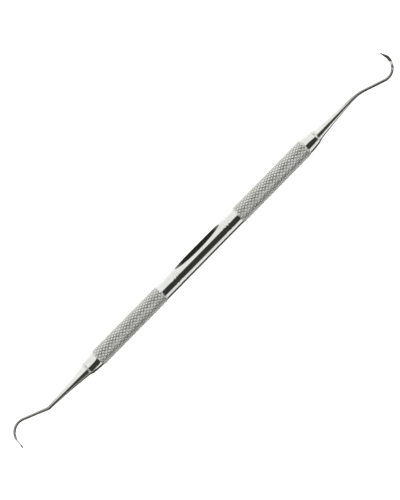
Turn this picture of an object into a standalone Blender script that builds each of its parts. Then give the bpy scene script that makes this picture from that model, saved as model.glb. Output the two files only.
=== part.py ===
"""Double-ended hand scaler: a hollow handle with two knurled grips, a tapered collar pressed into each
end of it, and a working end brazed into each collar. It lies along X, with both hooks in a level plane.
Lengths are in millimetres until MM turns them into metres."""

import math

import bmesh
import bpy
from mathutils import Matrix, Vector

MM = 0.001

# handle tube
HANDLE_LENGTH = 96.2
GRIP_RADIUS = 3.1
WAIST_RADIUS = 2.9
WAIST_START = -18.0
WAIST_END = 16.6
GRIP_STEP_LENGTH = 0.25
HANDLE_END_CHAMFER = 0.3
HANDLE_BORE_RADIUS = 1.95
BORE_CHAMFER = 0.1

# finger recess ground into the waist by a large wheel
RECESS_CENTRE = 0.2
RECESS_DEPTH = 0.42
RECESS_WHEEL_RADIUS = 126.0
RECESS_TILT_DEG = 57.0
RECESS_HALF_ANGLE_DEG = 5.4
RECESS_STEPS = 14
WHEEL_HALF_WIDTH = 3.5
WHEEL_CLEARANCE = 1.5

# collars
COLLAR_LENGTH = 4.5
COLLAR_BASE_RADIUS = 2.85
COLLAR_MOUTH_RADIUS = 2.5
COLLAR_CURVE_POWER = 1.6
COLLAR_STEPS = 4
COLLAR_EDGE = 0.06
COLLAR_BORE_RADIUS = 1.25
SPIGOT_LENGTH = 9.0
SPIGOT_CHAMFER = 0.3

# brazing fillets between collars and shanks
FILLET_LENGTH = 0.9
FILLET_EDGE_RADIUS = 2.42
FILLET_TOE_THICKNESS = 0.07

# working ends, measured outward from the collar's mouth
TANG_RADIUS = 1.2
TANG_LENGTH = 12.5
TANG_CHAMFER = 0.25
SHANK_BASE_RADIUS = 2.18
WIRE_RADIUS = 0.5
SHANK_TAPER_LENGTH = 23.6
SHANK_TAPER_POWER = 1.7
BLADE_ROOT_LENGTH = 1.2
POINT_ROOT_LENGTH = 0.5

# spacing of the rings that a working end is built on
STRAIGHT_STEP = 3.0
BEND_STEP_DEG = 9.0
LEAST_BEND_STEPS = 3
BLADE_ROOT_STEPS = 3
LEAST_RING_GAP = 0.06

FIT_GAP = 0.05
TURNED_SIDES = 36
FORGED_SIDES = 18
SHARP_EDGE_DEG = 25.0

# A route is the bending plan of a working end: straight lengths, and bends of (radius, degrees to the left).
WORKING_ENDS = {
    "right": {
        "route": (17.0, (16.0, -19.0), 7.2, (4.4, 102.5), 0.9, (0.55, 23.5), 2.5),
        "blade_length": 7.7,
        "point_length": 2.65,
        "point_width": 1.0,
        "flat_length": 4.6,
    },
    "left": {
        "route": (17.7, (3.2, -22.2), 8.35, (4.6, 105.0), 2.95),
        "blade_length": 6.5,
        "point_length": 1.2,
        "point_width": 0.56,
        "flat_length": 1.8,
    },
}
BLADE_WIDTH = 0.95
BLADE_THICKNESS_RATIO = 1.15
POINT_THICKNESS_RATIO = 0.5
TIP_WIDTH = 0.34

STEEL_POLISHED = ((0.62, 0.62, 0.61, 1.0), 0.1)
STEEL_KNURLED = ((0.56, 0.56, 0.54, 1.0), 0.3)
STEEL_BLADE = ((0.67, 0.67, 0.66, 1.0), 0.18)
BRAZING_ALLOY = ((0.56, 0.555, 0.535, 1.0), 0.2)


def clear_scene():
    for old in list(bpy.data.objects):
        bpy.data.objects.remove(old, do_unlink=True)


def smooth_step(value):
    value = min(1.0, max(0.0, value))
    return value * value * (3.0 - 2.0 * value)


def mixed(start, end, share):
    return start + (end - start) * share


def metal(name, finish):
    """A plain metal with a base colour and a roughness."""
    colour, roughness = finish
    material = bpy.data.materials.new(name)
    material.use_nodes = True
    shader = material.node_tree.nodes["Principled BSDF"]
    shader.inputs["Base Color"].default_value = colour
    shader.inputs["Metallic"].default_value = 1.0
    shader.inputs["Roughness"].default_value = roughness
    return material


def finish_object(name, bm, material):
    """Turns a bmesh in millimetres into a named object in metres, smooth except at its real edges."""
    bmesh.ops.recalc_face_normals(bm, faces=bm.faces)
    bmesh.ops.scale(bm, vec=(MM, MM, MM), verts=bm.verts)
    mesh = bpy.data.meshes.new(name)
    bm.to_mesh(mesh)
    bm.free()
    mesh.shade_smooth()
    mesh.set_sharp_from_angle(angle=math.radians(SHARP_EDGE_DEG))
    mesh.materials.append(material)
    piece = bpy.data.objects.new(name, mesh)
    bpy.context.scene.collection.objects.link(piece)
    return piece


def turned(name, profile, material):
    """Spins a closed (x, radius) profile about the X axis, with one flat facing straight down."""
    bm = bmesh.new()
    half_step = math.pi / TURNED_SIDES
    down = Vector((0.0, math.sin(half_step), -math.cos(half_step)))
    verts = [bm.verts.new(Vector((x, 0.0, 0.0)) + down * radius) for x, radius in profile]
    edges = [bm.edges.new((verts[i - 1], verts[i])) for i in range(len(verts))]
    bmesh.ops.spin(
        bm,
        geom=verts + edges,
        cent=(0.0, 0.0, 0.0),
        axis=(1.0, 0.0, 0.0),
        angle=2.0 * math.pi,
        steps=TURNED_SIDES,
        use_merge=True,
    )
    return finish_object(name, bm, material)


def make_handle_tube(material):
    """One tube: two grips that stand proud of the waist, chamfered ends, and a bore from end to end."""
    half = HANDLE_LENGTH / 2.0
    end_radius = GRIP_RADIUS - HANDLE_END_CHAMFER
    outside = [
        (-half, end_radius),
        (-half + HANDLE_END_CHAMFER, GRIP_RADIUS),
        (WAIST_START, GRIP_RADIUS),
        (WAIST_START + GRIP_STEP_LENGTH, WAIST_RADIUS),
        (WAIST_END - GRIP_STEP_LENGTH, WAIST_RADIUS),
        (WAIST_END, GRIP_RADIUS),
        (half - HANDLE_END_CHAMFER, GRIP_RADIUS),
        (half, end_radius),
    ]
    inside = [
        (half, HANDLE_BORE_RADIUS + BORE_CHAMFER),
        (half - BORE_CHAMFER, HANDLE_BORE_RADIUS),
        (-half + BORE_CHAMFER, HANDLE_BORE_RADIUS),
        (-half, HANDLE_BORE_RADIUS + BORE_CHAMFER),
    ]
    tube = turned("handle_tube", outside + inside, material)
    cut = tube.modifiers.new("finger_recess", "BOOLEAN")
    cut.operation = "DIFFERENCE"
    cut.solver = "EXACT"
    cut.object = make_recess_cutter(material)
    return tube


def make_recess_cutter(material):
    """The rim of the grinding wheel: an arc along X, as wide as the wheel, tilted round the handle."""
    bm = bmesh.new()
    bottom = WAIST_RADIUS - RECESS_DEPTH
    outline = []
    for i in range(RECESS_STEPS + 1):
        angle = math.radians(RECESS_HALF_ANGLE_DEG) * (2.0 * i / RECESS_STEPS - 1.0)
        along = RECESS_CENTRE + RECESS_WHEEL_RADIUS * math.sin(angle)
        height = bottom + RECESS_WHEEL_RADIUS * (1.0 - math.cos(angle))
        outline.append((along, height))
    top = max(height for _, height in outline) + WHEEL_CLEARANCE
    outline.append((outline[-1][0], top))
    outline.append((outline[0][0], top))
    rim = bm.faces.new([bm.verts.new((x, -WHEEL_HALF_WIDTH, z)) for x, z in outline])
    grown = bmesh.ops.extrude_face_region(bm, geom=[rim])
    moved = [item for item in grown["geom"] if isinstance(item, bmesh.types.BMVert)]
    bmesh.ops.translate(bm, vec=(0.0, 2.0 * WHEEL_HALF_WIDTH, 0.0), verts=moved)
    cutter = finish_object("recess_cutter", bm, material)
    cutter.rotation_euler = (-math.radians(RECESS_TILT_DEG), 0.0, 0.0)
    cutter.hide_render = True
    cutter.display_type = "WIRE"
    return cutter


def collar_radius(share):
    """Outer radius of a collar, from its base (share 0) to its mouth (share 1), slightly barrelled."""
    drop = COLLAR_BASE_RADIUS - COLLAR_MOUTH_RADIUS
    return COLLAR_BASE_RADIUS - drop * share**COLLAR_CURVE_POWER


def make_collar(name, material):
    """A ferrule with its origin at the handle's end face: a cone outside and a spigot in the bore."""
    spigot_radius = HANDLE_BORE_RADIUS - FIT_GAP
    start = FIT_GAP
    low = start + COLLAR_EDGE
    high = COLLAR_LENGTH - COLLAR_EDGE
    outside = [(start, COLLAR_BASE_RADIUS - COLLAR_EDGE)]
    for i in range(COLLAR_STEPS + 1):
        share = i / COLLAR_STEPS
        outside.append((mixed(low, high, share), collar_radius(share)))
    outside.append((COLLAR_LENGTH, COLLAR_MOUTH_RADIUS - COLLAR_EDGE))
    inside = [
        (COLLAR_LENGTH, COLLAR_BORE_RADIUS),
        (-SPIGOT_LENGTH, COLLAR_BORE_RADIUS),
        (-SPIGOT_LENGTH, spigot_radius - SPIGOT_CHAMFER),
        (-SPIGOT_LENGTH + SPIGOT_CHAMFER, spigot_radius),
        (start, spigot_radius),
    ]
    return turned(name, outside + inside, material)


def shank_radius(distance):
    """Radius of the round part of a working end, tapering from its base to plain wire."""
    left = max(0.0, 1.0 - distance / SHANK_TAPER_LENGTH)
    return WIRE_RADIUS + (SHANK_BASE_RADIUS - WIRE_RADIUS) * left**SHANK_TAPER_POWER


def make_fillet(name, material):
    """A ring of brazing alloy with its origin at the collar's mouth, sloping down on to the shank."""
    start = FIT_GAP
    bore_start = shank_radius(start) + FIT_GAP
    bore_end = shank_radius(FILLET_LENGTH) + FIT_GAP
    profile = [
        (start, FILLET_EDGE_RADIUS),
        (FILLET_LENGTH, bore_end + FILLET_TOE_THICKNESS),
        (FILLET_LENGTH, bore_end),
        (start, bore_start),
    ]
    return turned(name, profile, material)


def route_length(route):
    total = 0.0
    for leg in route:
        if isinstance(leg, tuple):
            radius, degrees = leg
            total += radius * math.radians(abs(degrees))
        else:
            total += leg
    return total


def route_point(route, distance):
    """Position and heading on a route after a distance, starting at the origin along +X."""
    place = Vector((0.0, 0.0, 0.0))
    heading = 0.0
    for index, leg in enumerate(route):
        last = index == len(route) - 1
        if isinstance(leg, tuple):
            radius, degrees = leg
            length = radius * math.radians(abs(degrees))
            used = min(distance, length)
            turn = math.copysign(used / radius, degrees)
            chord = 2.0 * radius * math.sin(abs(turn) / 2.0)
            middle = heading + turn / 2.0
            place += chord * Vector((math.cos(middle), math.sin(middle), 0.0))
            heading += turn
        else:
            length = leg
            used = distance if last else min(distance, length)
            place += used * Vector((math.cos(heading), math.sin(heading), 0.0))
        distance -= used
        if distance <= 0.0:
            break
    return place, heading


def blade_size(end, from_tip):
    """Width in the plane of the hook, and the heights of the upper, lower and back edges. Near the point the
    upper side is ground level."""
    point = end["point_length"]
    if from_tip < point:
        width = mixed(TIP_WIDTH, end["point_width"], from_tip / point)
    else:
        share = (from_tip - point) / (end["blade_length"] - point)
        width = mixed(end["point_width"], BLADE_WIDTH, min(1.0, share))
    ground = smooth_step((end["flat_length"] - from_tip) / POINT_ROOT_LENGTH)
    thickness = width * mixed(BLADE_THICKNESS_RATIO, POINT_THICKNESS_RATIO, ground)
    level = 0.5 * POINT_THICKNESS_RATIO * end["point_width"]
    upper = mixed(0.5 * thickness, level, ground)
    return width, upper, upper - thickness, mixed(0.0, level, ground)


def three_edged_section(width, upper_height, lower_height, back_height):
    """A triangle of (inward, up) points: a flat face inside the hook, and one edge along its back."""
    upper = Vector((0.5 * width, upper_height))
    back = Vector((-0.5 * width, back_height))
    lower = Vector((0.5 * width, lower_height))
    side = FORGED_SIDES // 3
    ring = []
    for start, stop in ((lower, upper), (upper, back), (back, lower)):
        ring += [start.lerp(stop, i / side) for i in range(side)]
    half_side = side // 2
    return ring[half_side:] + ring[:half_side]


def section(end, distance, total):
    """Ring of (inward, up) points at a distance along a working end: round wire that turns into blade."""
    from_tip = total - distance
    bladed = smooth_step((end["blade_length"] - from_tip) / BLADE_ROOT_LENGTH)
    blade = three_edged_section(*blade_size(end, from_tip))
    wire = round_section(shank_radius(distance))
    return [near.lerp(far, bladed) for near, far in zip(wire, blade)]


def round_section(radius):
    angles = [2.0 * math.pi * i / FORGED_SIDES for i in range(FORGED_SIDES)]
    return [radius * Vector((math.cos(angle), math.sin(angle))) for angle in angles]


def stations(end, total):
    """Distances at which a working end gets a ring: close together in the bends and on the blade."""
    found = []
    done = 0.0
    for leg in end["route"]:
        if isinstance(leg, tuple):
            radius, degrees = leg
            length = radius * math.radians(abs(degrees))
            steps = max(LEAST_BEND_STEPS, round(abs(degrees) / BEND_STEP_DEG))
        else:
            length = leg
            steps = max(1, round(length / STRAIGHT_STEP))
        found += [done + length * i / steps for i in range(steps)]
        done += length
    blade_start = total - end["blade_length"]
    point_start = total - end["point_length"]
    flat_start = total - end["flat_length"]
    found += [blade_start + BLADE_ROOT_LENGTH * i / BLADE_ROOT_STEPS for i in range(BLADE_ROOT_STEPS + 1)]
    found += [point_start, flat_start, flat_start + POINT_ROOT_LENGTH, total]
    found[0] = FIT_GAP
    kept = []
    for distance in sorted(found):
        if not kept or distance - kept[-1] > LEAST_RING_GAP:
            kept.append(distance)
    return kept


def make_working_end(name, end, material):
    """Tang, shank, hook and blade in one piece, with its origin at the collar's mouth."""
    total = route_length(end["route"])
    rings = [
        (-TANG_LENGTH, round_section(TANG_RADIUS - TANG_CHAMFER)),
        (-TANG_LENGTH + TANG_CHAMFER, round_section(TANG_RADIUS)),
        (FIT_GAP, round_section(TANG_RADIUS)),
    ]
    rings += [(distance, section(end, distance, total)) for distance in stations(end, total)]
    bm = bmesh.new()
    loops = []
    for distance, outline in rings:
        if distance < 0.0:
            place, heading = Vector((distance, 0.0, 0.0)), 0.0
        else:
            place, heading = route_point(end["route"], distance)
        inward = Vector((-math.sin(heading), math.cos(heading), 0.0))
        up = Vector((0.0, 0.0, 1.0))
        verts = [bm.verts.new(place + inward * a + up * b) for a, b in outline]
        loops.append([bm.edges.new((verts[i - 1], verts[i])) for i in range(len(verts))])
    for near, far in zip(loops, loops[1:]):
        bmesh.ops.bridge_loops(bm, edges=near + far)
    bmesh.ops.holes_fill(bm, edges=loops[0] + loops[-1], sides=FORGED_SIDES)
    return finish_object(name, bm, material)


def lowest_and_highest(pieces):
    """Corners of the box round the pieces, read from their finished meshes in world space."""
    bpy.context.view_layer.update()
    corners = [piece.matrix_world @ Vector(corner) for piece in pieces for corner in piece.bound_box]
    low = Vector([min(corner[axis] for corner in corners) for axis in range(3)])
    high = Vector([max(corner[axis] for corner in corners) for axis in range(3)])
    return low, high


def build():
    clear_scene()
    knurled = metal("knurled_steel", STEEL_KNURLED)
    polished = metal("polished_steel", STEEL_POLISHED)
    blade_steel = metal("blade_steel", STEEL_BLADE)
    alloy = metal("brazing_alloy", BRAZING_ALLOY)

    instrument = bpy.data.objects.new("instrument", None)
    bpy.context.scene.collection.objects.link(instrument)
    tube = make_handle_tube(knurled)
    pieces = [tube]
    for side, sign in (("right", 1.0), ("left", -1.0)):
        face = sign * HANDLE_LENGTH / 2.0 * MM
        mouth = face + sign * COLLAR_LENGTH * MM
        turn = 0.0 if sign > 0.0 else math.pi
        collar = make_collar("collar_" + side, polished)
        collar.matrix_world = Matrix.Translation((face, 0.0, 0.0)) @ Matrix.Rotation(turn, 4, "Z")
        fillet = make_fillet("braze_fillet_" + side, alloy)
        fillet.matrix_world = Matrix.Translation((mouth, 0.0, 0.0)) @ Matrix.Rotation(turn, 4, "Z")
        tip = make_working_end("working_end_" + side, WORKING_ENDS[side], blade_steel)
        tip.matrix_world = Matrix.Translation((mouth, 0.0, 0.0)) @ Matrix.Rotation(turn, 4, "Z")
        pieces += [collar, fillet, tip]
    for piece in pieces + [tube.modifiers["finger_recess"].object]:
        piece.parent = instrument

    # The origin is on the surface that the instrument lies on, under the middle of its box.
    low, high = lowest_and_highest(pieces)
    instrument.location = (-(low.x + high.x) / 2.0, -(low.y + high.y) / 2.0, -low.z)


build()
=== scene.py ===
"""Looks of the double-ended hand scaler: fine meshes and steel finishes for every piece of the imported
model, a pale floor, soft tent light, and a camera that looks straight down on the instrument.
Shapes are worked out in millimetres in each piece's own frame, and MM turns them into metres."""

import math
import random

import bmesh
import bpy
from mathutils import Matrix, Vector


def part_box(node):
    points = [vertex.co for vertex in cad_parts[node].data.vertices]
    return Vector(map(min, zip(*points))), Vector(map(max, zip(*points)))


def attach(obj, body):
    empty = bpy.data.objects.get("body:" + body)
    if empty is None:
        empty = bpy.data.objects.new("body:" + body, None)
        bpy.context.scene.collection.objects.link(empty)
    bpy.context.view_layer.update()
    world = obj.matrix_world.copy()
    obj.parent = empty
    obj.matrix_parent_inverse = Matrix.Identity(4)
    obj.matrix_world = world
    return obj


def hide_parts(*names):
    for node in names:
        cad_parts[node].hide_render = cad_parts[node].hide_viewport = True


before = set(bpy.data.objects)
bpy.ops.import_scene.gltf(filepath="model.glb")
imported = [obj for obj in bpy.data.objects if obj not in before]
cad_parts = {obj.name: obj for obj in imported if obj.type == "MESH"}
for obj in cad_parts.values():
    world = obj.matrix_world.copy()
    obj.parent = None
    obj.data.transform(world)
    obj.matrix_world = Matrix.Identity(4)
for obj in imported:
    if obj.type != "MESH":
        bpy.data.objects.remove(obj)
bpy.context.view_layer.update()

MM = 0.001
RIGHT, LEFT = 1.0, -1.0

# places read from the frame
tube_low, tube_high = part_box("handle_tube")
AXIS = (tube_low + tube_high) / 2.0
HALF_HANDLE = (tube_high.x - tube_low.x) / 2.0 / MM
GRIP_RADIUS = (tube_high.z - tube_low.z) / 2.0 / MM

# handle tube
WAIST_RADIUS = 2.9
WAIST_START = -18.0
WAIST_END = 16.6
WAIST_STEP = 1.0
END_CHAMFER = 0.3
BORE_RADIUS = 1.95
BORE_CHAMFER = 0.1

# rolled diamond knurl: STARTS grooves to each hand, DIAMOND_LENGTH apart along the tube
STARTS = 16
DIAMOND_LENGTH = 1.63
CUTS_PER_DIAMOND = 8
COLUMNS = STARTS * CUTS_PER_DIAMOND
GROOVE_DEPTH = 0.25
FLANK_SHARE = 0.8
CREST_SPREAD = 0.22
RUN_OUT_LENGTH = 0.75
RUN_OUT_SPREAD = 0.35
RUN_OUT_CREST = 0.7
LEFT_KNURL_SEED = 3
RIGHT_KNURL_SEED = 8

# finger recess ground into the waist by a large wheel
RECESS_CENTRE = 0.2
RECESS_DEPTH = 0.42
RECESS_WHEEL_RADIUS = 126.0
RECESS_HALF_LENGTH = math.sqrt(RECESS_WHEEL_RADIUS**2 - (RECESS_WHEEL_RADIUS - RECESS_DEPTH) ** 2)
RECESS_TILT = math.radians(57.0)
RECESS_COLUMNS = 24
RECESS_STEP = 0.4
RECESS_FADE = 3.0

# collars
COLLAR_LENGTH = 4.5
COLLAR_BASE_RADIUS = 2.85
COLLAR_MOUTH_RADIUS = 2.5
COLLAR_CURVE_POWER = 1.6
COLLAR_STEPS = 24
COLLAR_BORE_RADIUS = 1.25
SPIGOT_LENGTH = 9.0
SPIGOT_CHAMFER = 0.3
EDGE_ROUND = 0.09
EDGE_STEPS = 4
TURNED_COLUMNS = 96

# brazing fillets
FILLET_LENGTH = 0.9
FILLET_EDGE_RADIUS = 2.42
FILLET_TOE = 0.07
FILLET_STEPS = 10
FILLET_HOLLOW = 1.8
FIT_GAP = 0.05

# working ends, measured outward from the collar's mouth
TANG_RADIUS = 1.2
TANG_LENGTH = 12.5
TANG_CHAMFER = 0.25
SHANK_BASE_RADIUS = 2.18
SHANK_TAPER_LENGTH = 23.6
SHANK_TAPER_POWER = 1.7
WIRE_RADIUS = 0.5
BLADE_ROOT_LENGTH = 1.2
BLADE_WIDTH = 0.95
BLADE_THICKNESS_RATIO = 1.15
POINT_ROOT_LENGTH = 0.5
POINT_THICKNESS_RATIO = 0.5
TIP_WIDTH = 0.34
FORGED_COLUMNS = 48
FORGED_STEP = 0.22

# The wire past the polished shank stays dull from the hardening, and each blade is polished again.
BRIGHT_SHANK_LENGTH = 8.0
DULLING_LENGTH = 13.0

# A route is the bending plan of a working end: straight lengths, and bends of (radius, degrees to the
# left). The other lengths are measured back from the tip: the blade, the point that narrows to the tip,
# the flat whose upper side is ground level, and the stretch polished bright again, which takes away the
# bright share of the dullness.
WORKING_ENDS = {
    "right": {
        "route": (17.0, (16.0, -19.0), 7.2, (4.4, 102.5), 0.9, (0.55, 23.5), 2.5),
        "blade_length": 7.7,
        "point_length": 2.65,
        "point_width": 1.0,
        "flat_length": 4.6,
        "bright_length": 7.2,
        "bright_share": 0.6,
    },
    "left": {
        "route": (17.7, (3.2, -22.2), 8.35, (4.6, 105.0), 2.95),
        "blade_length": 6.5,
        "point_length": 1.2,
        "point_width": 0.56,
        "flat_length": 1.8,
        "bright_length": 3.7,
        "bright_share": 1.0,
    },
}

# edges sharper than these angles are drawn sharp
SHARP_EDGE = math.radians(24.0)
CREASE_EDGE = math.radians(7.0)

# Steel finishes, by material slot. The grain is the stretch of the grinding marks along X, Y and Z.
FINISHES = {
    "knurled_steel": {
        "tone": (0.62, 0.62, 0.6),
        "deep_tone": (0.54, 0.54, 0.52),
        "roughness": 0.26,
        "grain": (1.0, 6.0, 6.0),
        "grain_depth": 0.01,
        "layer": "crest",
    },
    "polished_steel": {
        "tone": (0.62, 0.623, 0.607),
        "deep_tone": (0.58, 0.583, 0.567),
        "roughness": 0.05,
        "grain": (8.0, 0.4, 0.4),
        "grain_depth": 0.0015,
    },
    "blade_steel": {
        "tone": (0.67, 0.67, 0.655),
        "deep_tone": (0.61, 0.61, 0.595),
        "roughness": 0.14,
        "grain": (5.0, 1.0, 1.0),
        "grain_depth": 0.004,
        "layer": "dull",
    },
    "brazing_alloy": {
        "tone": (0.62, 0.615, 0.595),
        "deep_tone": (0.55, 0.545, 0.525),
        "roughness": 0.2,
        "grain": (2.0, 2.0, 2.0),
        "grain_depth": 0.01,
    },
}
WIRE_TONE = (0.27, 0.27, 0.262)
# knurl tones: painted groove shade with grime, and painted crest glints with wear
GRIME_AND_SHADE_TONE = (0.16, 0.155, 0.14)
WORN_AND_GLINT_TONE = (0.7, 0.7, 0.68)

# noises of the steel, per millimetre, and the band of each that counts
CLOUDS = {"scale": 0.35, "detail": 3.0}
CLOUD_BAND = (0.35, 0.68)
SMEARS = {"scale": 1.1, "detail": 5.0, "roughness": 0.6}
SMEAR_BAND = (0.3, 0.75)
SMEAR_DULLING = 0.5
GRAIN = {"scale": 2.0, "detail": 4.0, "roughness": 0.65}
HAIRS = {"scale": 1.6}
HAIR_BAND = (0.66, 0.74)
HAIR_TURN = (0.3, 0.5, 0.45)
HAIR_STRETCH = (0.5, 9.0, 9.0)
HAIR_ROUGHNESS = 0.08
HAIR_DEPTH = -0.35
BUMP_STRENGTH = 0.35

# grime with painted shade in the grooves, and wear with painted glints on the crests, by height in the
# knurl from 0 in a groove to 1 on a crest
GRIME_AND_SHADE_BAND = (0.55, 0.0)
GRIME_AND_SHADE_SHARE = 0.65
GRIME_ROUGHNESS = 0.25
WORN_AND_GLINT_BAND = (0.78, 0.98)
WORN_POLISH = -0.4

# camera, straight above
VIEW_CENTRE = Vector((-0.00077, 0.00081))
VIEW_TURN = math.radians(-45.5)
VIEW_HEIGHT_COVERED = 0.16234
VIEW_FAR_LIMIT = 100.0
LENS_MM = 250.0
SENSOR_MM = 36.0

# floor
FLOOR_SIZE = 12.0
FLOOR_TONE = (0.93, 0.93, 0.93)
FLOOR_ROUGHNESS = 0.9
FLOOR_SPECULAR = 0.1
FLOOR_GLOW = 0.75

# Dark sheets just above the floor, in millimetres, that show only in reflections: painted shade of the
# floor along the instrument's -Y side, and a painted dark reflection in the finger recess. Each fades out
# along X: by distance from its middle, it is clear at the first number of its fade and full at the second.
PAINTED_CARD_HEIGHT = 0.05
PAINTED_CARD_BLUE_SHARE = 0.85
PAINTED_SHADE_CARDS = {
    # painted shadow: the floor's shade along the instrument, seen in the metal as a dark lower outline
    "painted_shadow_card": {
        "corners": (
            (-110.0, -3.6),
            (-110.0, -150.0),
            (-72.0, -150.0),
            (-58.0, -30.0),
            (-49.0, -30.0),
            (-46.0, -22.0),
            (110.0, -20.0),
            (110.0, -3.6),
        ),
        "tone": 0.1,
        "middle": 0.0,
        "fade": (110.0, 100.0),
    },
    # painted dark reflection that darkens the finger recess
    "painted_recess_reflection_card": {
        "corners": ((-16.0, 9.0), (15.0, 9.0), (15.0, 15.0), (-16.0, 15.0)),
        "tone": 0.03,
        "middle": -0.5,
        "fade": (15.0, 6.0),
    },
}

# Light tent, by direction in degrees. Lean is the turn about X from straight up towards -Y, and along is
# the rise towards +X. Tilt and aside are the same without their sign. Two numbers are where a part is clear
# and where it is full, and four numbers go on to where it is still full and where it is clear again.
OPENING_NEAR_EDGE = (-15.0, -7.0)
OPENING_FAR_EDGE = (62.0, 54.0)
OPENING_ALONG = (-52.0, -30.0, 27.0, 44.0)
ARCH_CENTRE = 5.0
ARCH_SPREAD = (5.0, 18.0)
ARCH_RISE = 14.0
BESIDE_LEAN = (54.0, 62.0, 110.0, 125.0)
BESIDE_ASIDE = (30.0, 15.0)
STRIP_NEAR_EDGE = (59.0, 67.0)
STRIP_FAR_EDGE = (125.0, 110.0)
STRIP_ALONG = (-14.0, -9.0, 14.0, 28.0)
STRIP_CUT = (-2.0, -9.0)
STRIP_CUT_DEPTH = 16.0
CORNER_TILT = (34.0, 42.0, 94.0, 108.0)
CORNER_ASIDE = (40.5, 43.0, 50.0, 56.0)
END_PANEL_TILT = (56.0, 44.0)
END_PANEL_ASIDE = (67.0, 73.0)
SHADED_ALONG = (-35.0, -55.0)
TENT_TONE = (1.3, 1.305, 1.285)
SHADED_TONE = (0.95, 0.95, 0.93)
PANEL_TONE = (0.12, 0.12, 0.115)
OPENING_TONE = (0.055, 0.056, 0.047)
STRIP_TONE = (1.2, 1.2, 1.2)


def mixed(start, end, share):
    return start + (end - start) * share


def smooth_step(value):
    value = min(1.0, max(0.0, value))
    return value * value * (3.0 - 2.0 * value)


def opaque(tone):
    return (*tone, 1.0)


# ---------------------------------------------------------------- materials


class Nodes:
    """A short way to write a shader's node tree."""

    def __init__(self, owner):
        owner.use_nodes = True
        self.tree = owner.node_tree

    def add(self, kind, settings=None, **inputs):
        """A new node. Its inputs are given by name, or as _0, _1 and so on by number."""
        node = self.tree.nodes.new("ShaderNode" + kind)
        for key, value in (settings or {}).items():
            setattr(node, key, value)
        for key, value in inputs.items():
            self.feed(node, key, value)
        return node

    def feed(self, node, key, value):
        """Links a socket to an input, or sets the input's own value."""
        socket = node.inputs[int(key[1:])] if key[0] == "_" else node.inputs[key.replace("_", " ")]
        if isinstance(value, bpy.types.NodeSocket):
            self.tree.links.new(value, socket)
        else:
            socket.default_value = value

    def maths(self, operation, *values):
        inputs = {f"_{index}": value for index, value in enumerate(values)}
        return self.add("Math", {"operation": operation}, **inputs).outputs[0]

    def times(self, first, *others):
        """A product of two or more values."""
        for other in others:
            first = self.maths("MULTIPLY", first, other)
        return first

    def ramp(self, value, low, high, start=0.0, end=1.0):
        """Maps value from low..high to start..end, with soft ends."""
        node = self.add("MapRange", {"interpolation_type": "SMOOTHSTEP"}, Value=value)
        for key, number in (("From Min", low), ("From Max", high), ("To Min", start), ("To Max", end)):
            self.feed(node, key, number)
        return node.outputs[0]

    def band(self, value, rise_start, rise_end, fall_start, fall_end):
        """1 where value is between rise_end and fall_start, softening to 0 at the outer two."""
        return self.times(self.ramp(value, rise_start, rise_end), self.ramp(value, fall_end, fall_start))

    def mix(self, share, first, second):
        """A mix of two colours."""
        node = self.add("Mix", {"data_type": "RGBA"})
        for key, value in ((0, share), (6, first), (7, second)):
            self.feed(node, f"_{key}", value)
        return node.outputs[2]

    def stretch(self, place, scale, rotation=(0.0, 0.0, 0.0)):
        return self.add("Mapping", Vector=place, Rotation=rotation, Scale=scale).outputs[0]

    def noise(self, place, scale, detail=2.0, roughness=0.5):
        node = self.add("TexNoise", Vector=place, Scale=scale, Detail=detail, Roughness=roughness)
        return node.outputs[0]

    def layer(self, name):
        """A value stored at each vertex."""
        return self.add("Attribute", {"attribute_name": name}).outputs["Fac"]


def steel(name, tone, deep_tone, roughness, grain, grain_depth, layer=None):
    """Stainless steel: two tones in soft clouds, handling smears in its roughness, fine hairline scratches,
    and grinding grain. The layer "crest" adds grime and painted shade in the knurl's grooves, and wear
    and painted glints on its crests; the layer "dull" darkens the wire that was hardened and not polished
    again."""
    material = bpy.data.materials.new(name)
    nodes = Nodes(material)
    shader = nodes.tree.nodes["Principled BSDF"]
    place = nodes.add("TexCoord").outputs["Object"]
    in_mm = nodes.stretch(place, (1.0 / MM, 1.0 / MM, 1.0 / MM))

    clouds = nodes.noise(in_mm, **CLOUDS)
    smears = nodes.noise(in_mm, **SMEARS)
    lines = nodes.noise(nodes.stretch(in_mm, grain), **GRAIN)
    hairs = nodes.ramp(nodes.noise(nodes.stretch(in_mm, HAIR_STRETCH, HAIR_TURN), **HAIRS), *HAIR_BAND)

    tint = nodes.mix(nodes.ramp(clouds, *CLOUD_BAND), opaque(tone), opaque(deep_tone))
    smeared = nodes.ramp(smears, *SMEAR_BAND)
    rough = nodes.maths("MULTIPLY_ADD", smeared, SMEAR_DULLING * roughness, roughness)
    rough = nodes.maths("MULTIPLY_ADD", hairs, HAIR_ROUGHNESS, rough)
    if layer == "dull":
        tint = nodes.mix(nodes.layer("dull"), tint, opaque(WIRE_TONE))
    if layer == "crest":
        crest = nodes.layer("crest")
        # the grooves get grime and painted shade, the crests wear and painted glints
        grime_and_shade = nodes.ramp(crest, *GRIME_AND_SHADE_BAND)
        worn_and_glint = nodes.ramp(crest, *WORN_AND_GLINT_BAND)
        tint = nodes.mix(nodes.times(grime_and_shade, GRIME_AND_SHADE_SHARE), tint, opaque(GRIME_AND_SHADE_TONE))
        tint = nodes.mix(worn_and_glint, tint, opaque(WORN_AND_GLINT_TONE))
        rough = nodes.maths("MULTIPLY_ADD", grime_and_shade, GRIME_ROUGHNESS, rough)
        rough = nodes.maths("MULTIPLY_ADD", worn_and_glint, WORN_POLISH * roughness, rough)
    height = nodes.maths("MULTIPLY_ADD", hairs, HAIR_DEPTH, lines)
    bump = nodes.add("Bump", Strength=BUMP_STRENGTH, Distance=grain_depth * MM, Height=height)

    shader.inputs["Metallic"].default_value = 1.0
    nodes.feed(shader, "Base Color", tint)
    nodes.feed(shader, "Roughness", rough)
    nodes.feed(shader, "Normal", bump.outputs[0])
    return material


# ---------------------------------------------------------------- mesh helpers


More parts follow.
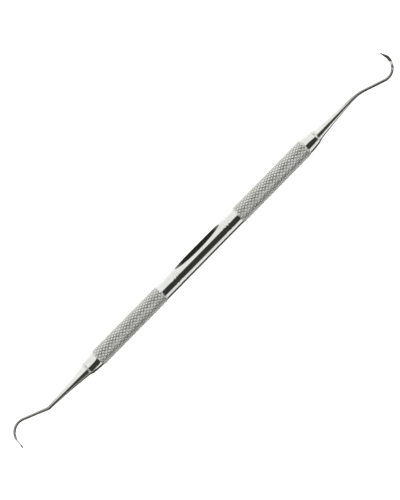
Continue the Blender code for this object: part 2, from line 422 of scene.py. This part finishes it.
def finish_piece(name, bm, origin, side, materials, sharp=SHARP_EDGE):
    """Turns a bmesh in millimetres into a piece at its place, smooth except at its real edges."""
    bmesh.ops.recalc_face_normals(bm, faces=bm.faces)
    bmesh.ops.scale(bm, vec=(MM, MM, MM), verts=bm.verts)
    mesh = bpy.data.meshes.new(name)
    bm.to_mesh(mesh)
    bm.free()
    mesh.shade_smooth()
    mesh.set_sharp_from_angle(angle=sharp)
    for material in materials:
        mesh.materials.append(material)
    piece = bpy.data.objects.new(name, mesh)
    bpy.context.scene.collection.objects.link(piece)
    turn = 0.0 if side == RIGHT else math.pi
    piece.matrix_world = Matrix.Translation(origin) @ Matrix.Rotation(turn, 4, "Z")
    return piece


def join_rings(bm, first, second, material_index=0):
    """Quads between two rings of the same number of vertices."""
    count = len(first)
    for i in range(count):
        after = (i + 1) % count
        face = bm.faces.new((first[i], first[after], second[after], second[i]))
        face.material_index = material_index


def around_axis(x, radius, angle):
    """A point at a distance from the X axis, turned from straight up towards +Y."""
    return x, radius * math.sin(angle), radius * math.cos(angle)


def turned(name, profile, origin, side, material):
    """Spins a closed (x, radius) profile about the X axis."""
    bm = bmesh.new()
    rings = []
    for x, radius in profile:
        angles = [2.0 * math.pi * i / TURNED_COLUMNS for i in range(TURNED_COLUMNS)]
        rings.append([bm.verts.new(around_axis(x, radius, angle)) for angle in angles])
    for i in range(len(rings)):
        join_rings(bm, rings[i - 1], rings[i])
    return finish_piece(name, bm, origin, side, [material])


def rounded_corner(corner, before, after, radius):
    """Points of a curve that rounds a profile's right-angled corner, from one neighbour's side to the
    other's."""
    corner, before, after = Vector(corner), Vector(before), Vector(after)
    start = corner + (before - corner).normalized() * radius
    end = corner + (after - corner).normalized() * radius
    points = []
    for i in range(EDGE_STEPS + 1):
        share = i / EDGE_STEPS
        points.append(tuple((1 - share) ** 2 * start + 2 * share * (1 - share) * corner + share**2 * end))
    return points


# ---------------------------------------------------------------- handle tube


def groove_height(share):
    """Height across one groove's spacing: 0 in the groove, 1 on the flat crest. The flanks take up
    FLANK_SHARE of the spacing."""
    share %= 1.0
    return min(1.0, 2.0 * min(share, 1.0 - share) / FLANK_SHARE)


class Knurl:
    """Two crossing sets of rolled grooves, and the uneven way in which they run out into the waist."""

    def __init__(self, seed):
        self.random = random.Random(seed)
        self.crests = {}
        self.run_outs = [self.random.random() for _ in range(STARTS)]

    def crest_drop(self, cell):
        """How much one diamond's crest is lower than full: little for most, because of the square."""
        if cell not in self.crests:
            self.crests[cell] = self.random.random() ** 2
        return self.crests[cell]

    def height(self, row, column):
        """Height of the surface at a lattice point: the lower of the two grooves' flanks."""
        rise = (row + column) / (2.0 * CUTS_PER_DIAMOND)
        fall = (row - column) / (2.0 * CUTS_PER_DIAMOND)
        height = min(groove_height(rise), groove_height(fall))
        cell = (math.floor(rise) % STARTS, math.floor(fall) % STARTS, math.floor(rise + fall))
        return height * (1.0 - CREST_SPREAD * self.crest_drop(cell) * height)

    def run_out(self, distance, angle):
        """Share of the full relief at a distance from the knurl's waist end."""
        place = angle / (2.0 * math.pi) * STARTS
        index = math.floor(place)
        near, far = self.run_outs[index % STARTS], self.run_outs[(index + 1) % STARTS]
        uneven = mixed(near, far, place - index)
        return smooth_step((distance - RUN_OUT_SPREAD * uneven) / RUN_OUT_LENGTH)


def add_grip(bm, crest_layer, waist_x, end_x, seed):
    """One knurled grip as rings of a staggered lattice whose edges follow the grooves. Gives its first and
    last ring, in order of x."""
    knurl = Knurl(seed)
    low, high = min(waist_x, end_x), max(waist_x, end_x)
    steps = round((high - low) / (DIAMOND_LENGTH / (2.0 * CUTS_PER_DIAMOND)))
    steps += steps % 2
    rings = []
    for row in range(steps + 1):
        x = mixed(low, high, row / steps)
        ring = []
        for i in range(COLUMNS):
            column = 2 * i + row % 2
            angle = 2.0 * math.pi * column / (2.0 * COLUMNS)
            height = knurl.height(row, column)
            share = knurl.run_out(abs(x - waist_x), angle)
            radius = mixed(WAIST_RADIUS, GRIP_RADIUS - GROOVE_DEPTH * (1.0 - height), share)
            vert = bm.verts.new(around_axis(x, radius, angle))
            vert[crest_layer] = mixed(RUN_OUT_CREST, height, share)
            ring.append(vert)
        rings.append(ring)
    for row in range(steps - 1):
        shift = row % 2
        for i in range(COLUMNS):
            near, far = rings[row][i], rings[row + 2][i]
            left, right = rings[row + 1][(i + shift - 1) % COLUMNS], rings[row + 1][(i + shift) % COLUMNS]
            if near[crest_layer] + far[crest_layer] > left[crest_layer] + right[crest_layer]:
                bm.faces.new((near, right, far))
                bm.faces.new((near, far, left))
            else:
                bm.faces.new((near, right, left))
                bm.faces.new((right, far, left))
    for edge, inner in ((rings[0], rings[1]), (rings[-1], rings[-2])):
        for i in range(COLUMNS):
            bm.faces.new((edge[i], edge[(i + 1) % COLUMNS], inner[i]))
    return rings[0], rings[-1]


def recess_floor(x):
    """Distance of the recess's floor from the tube's axis, at x along it."""
    along = x - RECESS_CENTRE
    rise = RECESS_WHEEL_RADIUS - math.sqrt(RECESS_WHEEL_RADIUS**2 - along**2)
    return WAIST_RADIUS - RECESS_DEPTH + rise


def recess_half_angle(x):
    """Half the angle that RECESS_COLUMNS columns span: rim to rim in the recess, and evenly spaced well
    away from it."""
    floor = recess_floor(x)
    half = math.acos(floor / WAIST_RADIUS) if floor < WAIST_RADIUS else 0.0
    outside = abs(x - RECESS_CENTRE) - RECESS_HALF_LENGTH
    if outside > 0.0:
        even_half = math.pi * RECESS_COLUMNS / COLUMNS
        half = mixed(half, even_half, smooth_step(outside / RECESS_FADE))
    return half


def add_waist_ring(bm, crest_layer, x):
    """A ring of the waist. Inside the recess it has RECESS_COLUMNS flat steps from rim to rim."""
    floor = recess_floor(x)
    half = recess_half_angle(x)
    first = round(RECESS_TILT / (2.0 * math.pi) * COLUMNS) - RECESS_COLUMNS // 2
    ring = []
    for i in range(COLUMNS):
        inside = (i - first) % COLUMNS
        radius = WAIST_RADIUS
        if inside <= RECESS_COLUMNS:
            angle = RECESS_TILT + half * (2.0 * inside / RECESS_COLUMNS - 1.0)
            if floor < WAIST_RADIUS:
                radius = min(radius, floor / math.cos(angle - RECESS_TILT))
        else:
            share = (inside - RECESS_COLUMNS) / (COLUMNS - RECESS_COLUMNS)
            angle = RECESS_TILT + mixed(half, 2.0 * math.pi - half, share)
        vert = bm.verts.new(around_axis(x, radius, angle))
        vert[crest_layer] = 1.0
        ring.append(vert)
    return ring


def waist_stations():
    """Places of the waist's rings between the two grips: close together over the recess."""
    start, end = RECESS_CENTRE - RECESS_HALF_LENGTH, RECESS_CENTRE + RECESS_HALF_LENGTH
    stations = []
    for low, high, step in (
        (WAIST_START, start, WAIST_STEP),
        (start, end, RECESS_STEP),
        (end, WAIST_END, WAIST_STEP),
    ):
        count = max(1, round((high - low) / step))
        stations += [mixed(low, high, i / count) for i in range(count)]
    return stations[1:]


def add_plain_ring(bm, crest_layer, x, radius):
    ring = []
    for i in range(COLUMNS):
        vert = bm.verts.new(around_axis(x, radius, 2.0 * math.pi * i / COLUMNS))
        vert[crest_layer] = 1.0
        ring.append(vert)
    return ring


def make_handle_tube(knurled, polished):
    """The tube in one closed mesh: bore, chamfered ends, two knurled grips and the polished waist."""
    bm = bmesh.new()
    crest_layer = bm.verts.layers.float.new("crest")
    half = HALF_HANDLE
    left_first, left_last = add_grip(bm, crest_layer, WAIST_START, -half + END_CHAMFER, LEFT_KNURL_SEED)
    right_first, right_last = add_grip(bm, crest_layer, WAIST_END, half - END_CHAMFER, RIGHT_KNURL_SEED)

    previous = left_last
    for x in waist_stations():
        ring = add_waist_ring(bm, crest_layer, x)
        join_rings(bm, previous, ring, 1)
        previous = ring
    join_rings(bm, previous, right_first, 1)

    previous = right_last
    for x, radius in (
        (half, GRIP_RADIUS - END_CHAMFER),
        (half, BORE_RADIUS + BORE_CHAMFER),
        (half - BORE_CHAMFER, BORE_RADIUS),
        (-half + BORE_CHAMFER, BORE_RADIUS),
        (-half, BORE_RADIUS + BORE_CHAMFER),
        (-half, GRIP_RADIUS - END_CHAMFER),
    ):
        ring = add_plain_ring(bm, crest_layer, x, radius)
        join_rings(bm, previous, ring, 1)
        previous = ring
    join_rings(bm, previous, left_first, 1)
    return finish_piece("handle_tube_fine", bm, AXIS, RIGHT, [knurled, polished], CREASE_EDGE)


# ---------------------------------------------------------------- collars and fillets


def make_collar(name, origin, side, material):
    """A ferrule with its origin at the handle's end face: a barrelled cone outside, a spigot in the tube's
    bore."""
    spigot = BORE_RADIUS - FIT_GAP
    base = (FIT_GAP, COLLAR_BASE_RADIUS)
    mouth = (COLLAR_LENGTH, COLLAR_MOUTH_RADIUS)
    profile = rounded_corner(base, (FIT_GAP, spigot), (COLLAR_LENGTH, COLLAR_BASE_RADIUS), EDGE_ROUND)
    for i in range(1, COLLAR_STEPS):
        share = i / COLLAR_STEPS
        x = mixed(base[0] + EDGE_ROUND, mouth[0] - EDGE_ROUND, share)
        drop = (COLLAR_BASE_RADIUS - COLLAR_MOUTH_RADIUS) * share**COLLAR_CURVE_POWER
        profile.append((x, COLLAR_BASE_RADIUS - drop))
    profile += rounded_corner(mouth, profile[-1], (COLLAR_LENGTH, COLLAR_BORE_RADIUS), EDGE_ROUND)
    profile += [
        (COLLAR_LENGTH, COLLAR_BORE_RADIUS),
        (-SPIGOT_LENGTH, COLLAR_BORE_RADIUS),
        (-SPIGOT_LENGTH, spigot - SPIGOT_CHAMFER),
        (-SPIGOT_LENGTH + SPIGOT_CHAMFER, spigot),
        (FIT_GAP, spigot),
    ]
    return turned(name, profile, origin, side, material)


def shank_radius(distance):
    """Radius of the round part of a working end, tapering from its base to plain wire."""
    left = max(0.0, 1.0 - distance / SHANK_TAPER_LENGTH)
    return WIRE_RADIUS + (SHANK_BASE_RADIUS - WIRE_RADIUS) * left**SHANK_TAPER_POWER


def make_fillet(name, origin, side, material):
    """A ring of brazing alloy, sloping down on to the shank in a slight hollow."""
    toe = shank_radius(FILLET_LENGTH) + FIT_GAP + FILLET_TOE
    profile = []
    for i in range(FILLET_STEPS + 1):
        share = i / FILLET_STEPS
        hollow = 1.0 - (1.0 - share) ** FILLET_HOLLOW
        profile.append((mixed(FIT_GAP, FILLET_LENGTH, share), mixed(FILLET_EDGE_RADIUS, toe, hollow)))
    profile.append((FILLET_LENGTH, shank_radius(FILLET_LENGTH) + FIT_GAP))
    profile.append((FIT_GAP, shank_radius(FIT_GAP) + FIT_GAP))
    return turned(name, profile, origin, side, material)


# ---------------------------------------------------------------- working ends


def leg_length(leg):
    return leg[0] * math.radians(abs(leg[1])) if isinstance(leg, tuple) else leg


def route_length(route):
    return sum(leg_length(leg) for leg in route)


def route_point(route, distance):
    """Position and heading on a route after a distance, starting at the origin along +X. The tang lies
    straight behind the start, at distances below zero."""
    place = Vector((min(0.0, distance), 0.0, 0.0))
    heading = 0.0
    distance = max(0.0, distance)
    for leg in route:
        used = min(distance, leg_length(leg))
        if isinstance(leg, tuple):
            turn = math.copysign(used / leg[0], leg[1])
            chord = 2.0 * leg[0] * math.sin(abs(turn) / 2.0)
            middle = heading + turn / 2.0
            place += chord * Vector((math.cos(middle), math.sin(middle), 0.0))
            heading += turn
        else:
            place += used * Vector((math.cos(heading), math.sin(heading), 0.0))
        distance -= used
    return place, heading


def round_section(radius):
    angles = [2.0 * math.pi * i / FORGED_COLUMNS for i in range(FORGED_COLUMNS)]
    return [radius * Vector((math.cos(angle), math.sin(angle))) for angle in angles]


def blade_size(end, from_tip):
    """Width in the plane of the hook, and the heights of the upper, lower and back edges. Near the point
    the upper side is ground level."""
    point = end["point_length"]
    if from_tip < point:
        width = mixed(TIP_WIDTH, end["point_width"], from_tip / point)
    else:
        share = (from_tip - point) / (end["blade_length"] - point)
        width = mixed(end["point_width"], BLADE_WIDTH, min(1.0, share))
    ground = smooth_step((end["flat_length"] - from_tip) / POINT_ROOT_LENGTH)
    thickness = width * mixed(BLADE_THICKNESS_RATIO, POINT_THICKNESS_RATIO, ground)
    level = 0.5 * POINT_THICKNESS_RATIO * end["point_width"]
    upper = mixed(0.5 * thickness, level, ground)
    return width, upper, upper - thickness, mixed(0.0, level, ground)


def three_edged_section(width, upper_height, lower_height, back_height):
    """A triangle of (inward, up) points: a flat face inside the hook, and one edge along its back."""
    upper = Vector((0.5 * width, upper_height))
    back = Vector((-0.5 * width, back_height))
    lower = Vector((0.5 * width, lower_height))
    side = FORGED_COLUMNS // 3
    ring = []
    for start, stop in ((lower, upper), (upper, back), (back, lower)):
        ring += [start.lerp(stop, i / side) for i in range(side)]
    half_side = side // 2
    return ring[half_side:] + ring[:half_side]


def section(end, distance, total):
    """Ring of (inward, up) points at a distance along a working end: round wire that turns into blade."""
    from_tip = total - distance
    bladed = smooth_step((end["blade_length"] - from_tip) / BLADE_ROOT_LENGTH)
    blade = three_edged_section(*blade_size(end, from_tip))
    wire = round_section(shank_radius(distance))
    return [near.lerp(far, bladed) for near, far in zip(wire, blade)]


def dullness(end, distance, total):
    """How dull the steel is at a distance along a working end, from 0 to 1."""
    from_tip = total - distance
    bright = end["bright_share"] * smooth_step((end["bright_length"] - from_tip) / POINT_ROOT_LENGTH)
    return smooth_step((distance - BRIGHT_SHANK_LENGTH) / DULLING_LENGTH) * (1.0 - bright)


def make_working_end(name, end, origin, side, material):
    """Tang, shank, hook and blade in one piece, with its origin at the collar's mouth."""
    total = route_length(end["route"])
    rings = [
        (-TANG_LENGTH, round_section(TANG_RADIUS - TANG_CHAMFER)),
        (-TANG_LENGTH + TANG_CHAMFER, round_section(TANG_RADIUS)),
        (FIT_GAP, round_section(TANG_RADIUS)),
    ]
    steps = round(total / FORGED_STEP)
    for i in range(steps + 1):
        distance = mixed(FIT_GAP, total, i / steps)
        rings.append((distance, section(end, distance, total)))
    bm = bmesh.new()
    dull_layer = bm.verts.layers.float.new("dull")
    loops = []
    for distance, outline in rings:
        place, heading = route_point(end["route"], distance)
        inward = Vector((-math.sin(heading), math.cos(heading), 0.0))
        loop = [bm.verts.new(place + inward * a + Vector((0.0, 0.0, b))) for a, b in outline]
        for vert in loop:
            vert[dull_layer] = dullness(end, distance, total)
        loops.append(loop)
    for near, far in zip(loops, loops[1:]):
        join_rings(bm, near, far)
    bm.faces.new(loops[0])
    bm.faces.new(loops[-1])
    return finish_piece(name, bm, origin, side, [material])


# ---------------------------------------------------------------- stage


def make_camera():
    camera = bpy.data.cameras.new("camera")
    camera.lens = LENS_MM
    camera.sensor_width = SENSOR_MM
    camera.clip_end = VIEW_FAR_LIMIT
    holder = bpy.data.objects.new("camera", camera)
    distance = VIEW_HEIGHT_COVERED / SENSOR_MM * LENS_MM
    holder.location = (VIEW_CENTRE.x, VIEW_CENTRE.y, AXIS.z + distance)
    holder.rotation_euler = (0.0, 0.0, VIEW_TURN)
    bpy.context.scene.collection.objects.link(holder)
    bpy.context.scene.camera = holder


def place_in_scene(name, bm, material):
    """Turns a bmesh into an object of the stage."""
    mesh = bpy.data.meshes.new(name)
    bm.to_mesh(mesh)
    bm.free()
    mesh.materials.append(material)
    holder = bpy.data.objects.new(name, mesh)
    bpy.context.scene.collection.objects.link(holder)
    return holder


def make_floor():
    """A plain pale floor with a faint glow of its own, so that it stays white under the instrument."""
    material = bpy.data.materials.new("floor")
    nodes = Nodes(material)
    shader = nodes.tree.nodes["Principled BSDF"]
    nodes.feed(shader, "Base Color", opaque(FLOOR_TONE))
    nodes.feed(shader, "Roughness", FLOOR_ROUGHNESS)
    nodes.feed(shader, "Specular IOR Level", FLOOR_SPECULAR)
    nodes.feed(shader, "Emission Color", (1.0, 1.0, 1.0, 1.0))
    nodes.feed(shader, "Emission Strength", FLOOR_GLOW)
    bm = bmesh.new()
    bmesh.ops.create_grid(bm, x_segments=1, y_segments=1, size=FLOOR_SIZE / 2.0)
    floor = place_in_scene("floor", bm, material)


def make_painted_shade_card(name, corners, tone, middle, fade):
    """A dark sheet that shows only in reflections, as painted shade or a painted dark reflection: it gives
    bright metal its dark outline, or darkens the recess.
    """
    material = bpy.data.materials.new(name)
    nodes = Nodes(material)
    nodes.tree.nodes.clear()
    # a faint dark glow, seen only in reflections, as painted shade
    glow = nodes.add("Emission", Color=(tone, tone, tone * PAINTED_CARD_BLUE_SHARE, 1.0), Strength=1.0)
    along = nodes.add("SeparateXYZ", Vector=nodes.add("TexCoord").outputs["Object"]).outputs["X"]
    from_middle = nodes.maths("ABSOLUTE", nodes.maths("SUBTRACT", along, middle * MM))
    share = nodes.ramp(from_middle, *(distance * MM for distance in fade))
    clear = nodes.add("BsdfTransparent")
    faded = nodes.add("MixShader", _0=share, _1=clear.outputs[0], _2=glow.outputs[0])
    nodes.add("OutputMaterial", Surface=faded.outputs[0])
    bm = bmesh.new()
    bm.faces.new([bm.verts.new((x * MM, y * MM, PAINTED_CARD_HEIGHT * MM)) for x, y in corners])
    painted_card = place_in_scene(name, bm, material)
    for kind in ("camera", "diffuse", "transmission", "volume_scatter", "shadow"):
        setattr(painted_card, "visible_" + kind, False)


def make_tent():
    """A bright tent, shaded towards -X. Its dark parts are an opening overhead, which leans to the -Y side
    and whose near edge arches out in the middle, a panel at each of the four corners and one at each end.
    A strip light stands in the middle of the opening's lower part."""
    world = bpy.data.worlds.new("tent")
    bpy.context.scene.world = world
    nodes = Nodes(world)
    nodes.tree.nodes.clear()
    direction = nodes.add("SeparateXYZ", Vector=nodes.add("TexCoord").outputs["Generated"]).outputs
    lean = nodes.maths("ARCTAN2", nodes.times(direction["Y"], -1.0), direction["Z"])
    lean = nodes.maths("DEGREES", lean)
    along = nodes.maths("DEGREES", nodes.maths("ARCSINE", direction["X"]))
    tilt = nodes.maths("ABSOLUTE", lean)
    aside = nodes.maths("ABSOLUTE", along)

    from_arch = nodes.maths("ABSOLUTE", nodes.maths("SUBTRACT", along, ARCH_CENTRE))
    arch = nodes.ramp(from_arch, *ARCH_SPREAD, 0.0, ARCH_RISE)
    near_edge = nodes.ramp(nodes.maths("SUBTRACT", lean, arch), *OPENING_NEAR_EDGE)
    far_edge = nodes.ramp(lean, *OPENING_FAR_EDGE)
    overhead = nodes.times(near_edge, far_edge, nodes.band(along, *OPENING_ALONG))
    beside = nodes.times(nodes.band(lean, *BESIDE_LEAN), nodes.ramp(aside, *BESIDE_ASIDE))
    opening = nodes.maths("ADD", overhead, beside)

    cut = nodes.ramp(along, *STRIP_CUT, 0.0, STRIP_CUT_DEPTH)
    near_edge = nodes.ramp(nodes.maths("SUBTRACT", lean, cut), *STRIP_NEAR_EDGE)
    far_edge = nodes.ramp(lean, *STRIP_FAR_EDGE)
    strip = nodes.times(near_edge, far_edge, nodes.band(along, *STRIP_ALONG))

    corners = nodes.times(nodes.band(tilt, *CORNER_TILT), nodes.band(aside, *CORNER_ASIDE))
    ends = nodes.times(nodes.ramp(tilt, *END_PANEL_TILT), nodes.ramp(aside, *END_PANEL_ASIDE))
    panels = nodes.maths("ADD", corners, ends)

    tone = nodes.mix(nodes.ramp(along, *SHADED_ALONG), opaque(TENT_TONE), opaque(SHADED_TONE))
    for share, part_tone in ((panels, PANEL_TONE), (opening, OPENING_TONE), (strip, STRIP_TONE)):
        tone = nodes.mix(share, tone, opaque(part_tone))
    light = nodes.add("Background", Color=tone, Strength=1.0)
    nodes.add("OutputWorld", Surface=light.outputs[0])


# ---------------------------------------------------------------- the instrument


def put_on(piece, node):
    """The piece rides on the one body and stands for its CAD node."""
    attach(piece, "root")
    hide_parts(node)


def main():
    finishes = {slot: steel(slot, **finish) for slot, finish in FINISHES.items()}
    polished = finishes["polished_steel"]

    put_on(make_handle_tube(finishes["knurled_steel"], polished), "handle_tube")
    for label, side in (("right", RIGHT), ("left", LEFT)):
        face = AXIS + Vector((side * HALF_HANDLE * MM, 0.0, 0.0))
        mouth = face + Vector((side * COLLAR_LENGTH * MM, 0.0, 0.0))
        collar = make_collar("collar_fine_" + label, face, side, polished)
        put_on(collar, "collar_" + label)
        fillet = make_fillet("braze_fillet_fine_" + label, mouth, side, finishes["brazing_alloy"])
        put_on(fillet, "braze_fillet_" + label)
        end = WORKING_ENDS[label]
        hook = make_working_end("working_end_fine_" + label, end, mouth, side, finishes["blade_steel"])
        put_on(hook, "working_end_" + label)

    make_floor()
    for name, painted_card in PAINTED_SHADE_CARDS.items():
        make_painted_shade_card(name, **painted_card)
    make_tent()
    make_camera()
    bpy.context.scene.view_settings.view_transform = "Standard"


main()
